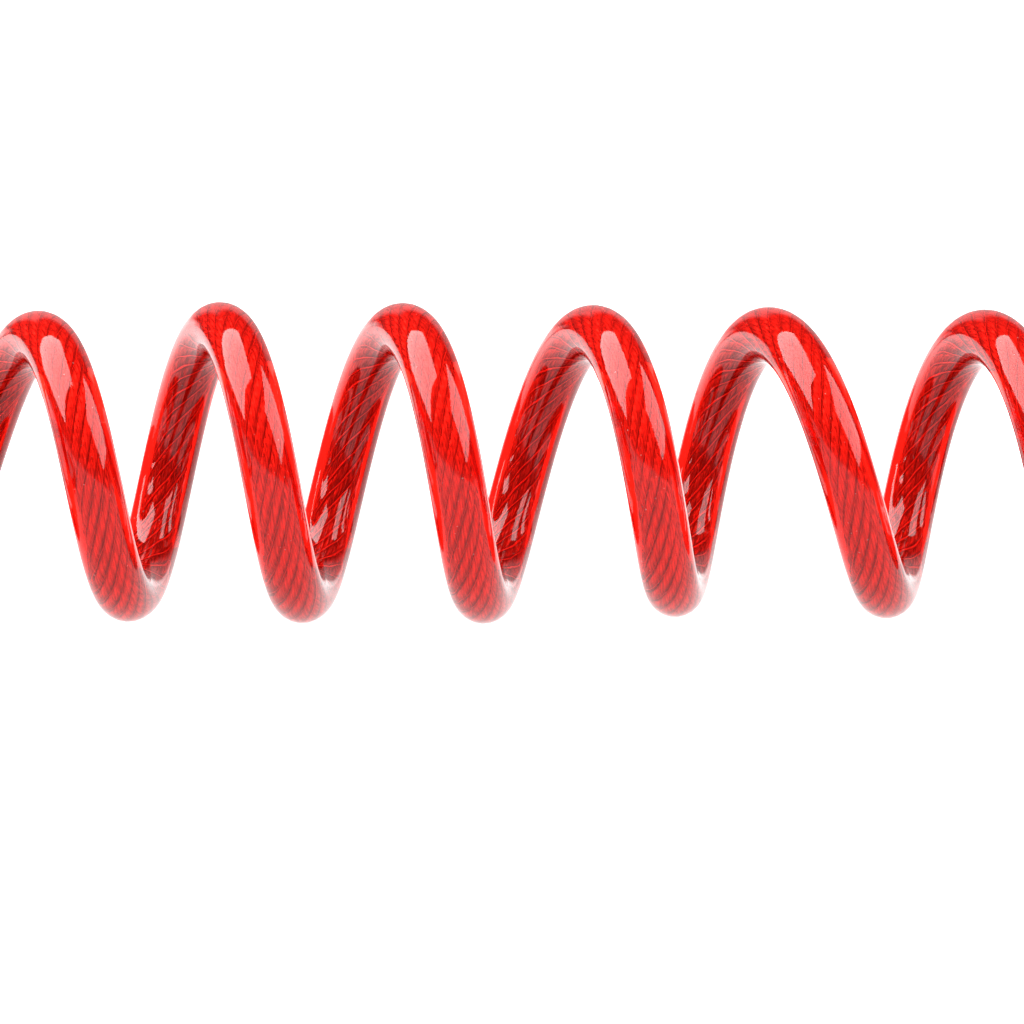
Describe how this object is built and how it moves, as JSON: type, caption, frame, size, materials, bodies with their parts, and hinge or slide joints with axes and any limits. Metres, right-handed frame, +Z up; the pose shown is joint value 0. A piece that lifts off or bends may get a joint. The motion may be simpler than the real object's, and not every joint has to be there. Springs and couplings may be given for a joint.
{
  "type": "cable lock",
  "caption": "Coiled cable lock with an in-line combination head, number wheels that turn, a red jacketed steel cable and a locking plug.",
  "frame": {"origin": "under the middle of the lock head, on the surface that it rests on", "axes": "+X along the head's axis, from the socket's mouth towards the cable; +Z up, through the index marks"},
  "size_m": [0.6023, 0.1842, 0.0574],
  "materials": {
    "red_vinyl": "gloss",
    "wire_rope": "satin",
    "casing_plastic": "satin",
    "wheel_plastic": "satin",
    "white_paint": "satin",
    "chrome_trim": "polished",
    "steel": "satin",
    "hard_steel": "gloss",
    "spring_steel": "gloss",
    "black_steel": "satin",
    "brass": "satin",
    "black_rubber": "matte"
  },
  "bodies": {
    "lock": {"front_housing": "casing_plastic", "socket_bezel": "chrome_trim", "core_tube": "steel", "spacer_washer_1": "steel", "spacer_washer_2": "steel", "spacer_washer_3": "steel", "spacer_washer_4": "steel", "rear_housing": "casing_plastic", "plug_housing": "casing_plastic", "head_end_cap": "chrome_trim", "plug_end_cap": "chrome_trim", "plug_collar": "chrome_trim", "disc_spring": "spring_steel", "detent_spring": "spring_steel", "retaining_ring": "spring_steel", "housing_pins": "steel", "pin_retainer": "steel", "locking_pin": "hard_steel", "index_marks": "white_paint", "head_ferrule": "steel", "plug_ferrule": "steel", "head_rope_end": "wire_rope", "plug_rope_end": "wire_rope", "head_set_screws": "black_steel", "plug_set_screws": "black_steel", "head_boot": "black_rubber", "plug_boot": "black_rubber", "plug_seal": "black_rubber", "cable_lead_head": "red_vinyl", "cable_coil": "red_vinyl", "cable_lead_plug": "red_vinyl"},
    "wheel_1": {"number_wheel_1": "wheel_plastic", "code_ring_1": "brass"},
    "wheel_2": {"number_wheel_2": "wheel_plastic", "code_ring_2": "brass"},
    "wheel_3": {"number_wheel_3": "wheel_plastic", "code_ring_3": "brass"},
    "wheel_4": {"number_wheel_4": "wheel_plastic", "code_ring_4": "brass"}
  },
  "joints": [
    {"name": "wheel_1_turn", "type": "hinge", "parent": "lock", "child": "wheel_1", "pos_m": [-0.0164, 0, 0.0124], "axis": [1, 0, 0], "continuous": true},
    {"name": "wheel_2_turn", "type": "hinge", "parent": "lock", "child": "wheel_2", "pos_m": [-0.01, 0, 0.0124], "axis": [1, 0, 0], "continuous": true},
    {"name": "wheel_3_turn", "type": "hinge", "parent": "lock", "child": "wheel_3", "pos_m": [-0.0036, 0, 0.0124], "axis": [1, 0, 0], "continuous": true},
    {"name": "wheel_4_turn", "type": "hinge", "parent": "lock", "child": "wheel_4", "pos_m": [0.0028, 0, 0.0124], "axis": [1, 0, 0], "continuous": true}
  ]
}
